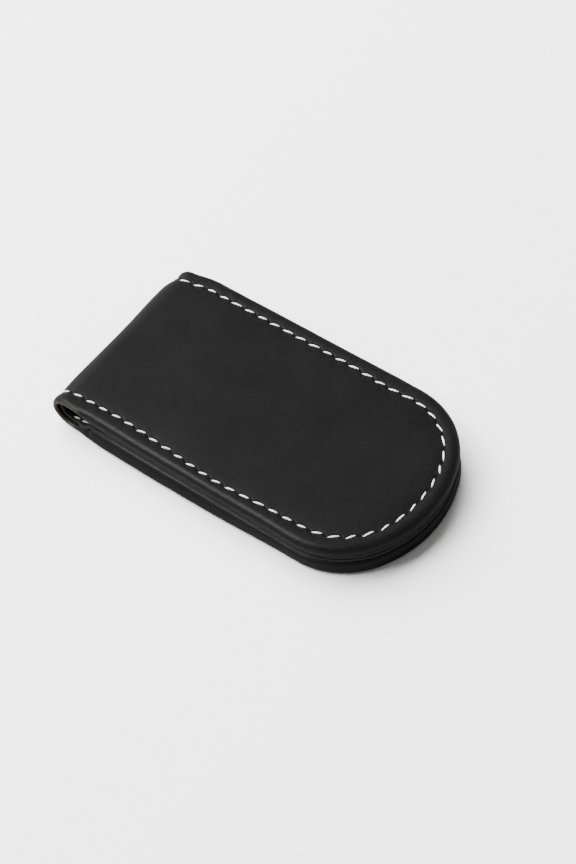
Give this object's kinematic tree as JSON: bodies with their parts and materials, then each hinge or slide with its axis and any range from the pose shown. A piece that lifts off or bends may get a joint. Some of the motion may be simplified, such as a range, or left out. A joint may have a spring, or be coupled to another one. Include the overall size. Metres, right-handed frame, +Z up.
{
  "type": "money clip",
  "caption": "Folding leather money clip: a stitched strap doubled over into two rounded leaves that hidden magnets hold shut, hinged at a bending fold.",
  "frame": {"origin": "under the middle of the closed clip, on the surface it rests on", "axes": "+X from the fold to the rounded tips, +Y across the strap, +Z up through both leaves"},
  "size_m": [0.08, 0.0426, 0.0083],
  "materials": {
    "outer_leather": "satin, fine smooth grain",
    "lining_leather": "matt, slightly softer than the outside",
    "thread": "twisted polyester thread",
    "stiffener_board": "pressed fibre board",
    "magnet": "nickel plated",
    "cover_sheet": "thin card",
    "reinforcing_tape": "woven tape"
  },
  "bodies": {
    "lower_leaf": {"outer_cover_lower": "outer_leather", "lining_lower": "lining_leather", "stiffener_lower": "stiffener_board", "magnet_lower_front": "magnet", "magnet_lower_rear": "magnet", "cover_sheet_lower": "cover_sheet", "outer_stitches_lower": "thread", "lining_stitches_lower": "thread"},
    "fold": {"outer_cover_fold": "outer_leather", "lining_fold": "lining_leather", "fold_reinforcement": "reinforcing_tape", "outer_stitches_fold": "thread", "lining_stitches_fold": "thread"},
    "upper_leaf": {"outer_cover_upper": "outer_leather", "lining_upper": "lining_leather", "stiffener_upper": "stiffener_board", "magnet_upper_front": "magnet", "magnet_upper_rear": "magnet", "cover_sheet_upper": "cover_sheet", "outer_stitches_upper": "thread", "lining_stitches_upper": "thread"}
  },
  "joints": [
    {"name": "fold_lower_bend", "type": "hinge", "parent": "lower_leaf", "child": "fold", "pos_m": [-0.03878, 0, 0.00122], "axis": [0, -1, 0], "range_deg": [0, 90]},
    {"name": "fold_upper_bend", "type": "hinge", "parent": "fold", "child": "upper_leaf", "pos_m": [-0.03878, 0, 0.00708], "axis": [0, -1, 0], "range_deg": [0, 90]}
  ],
  "couplings": [
    {"joint": "fold_upper_bend", "follows": "fold_lower_bend", "ratio": 1}
  ]
}
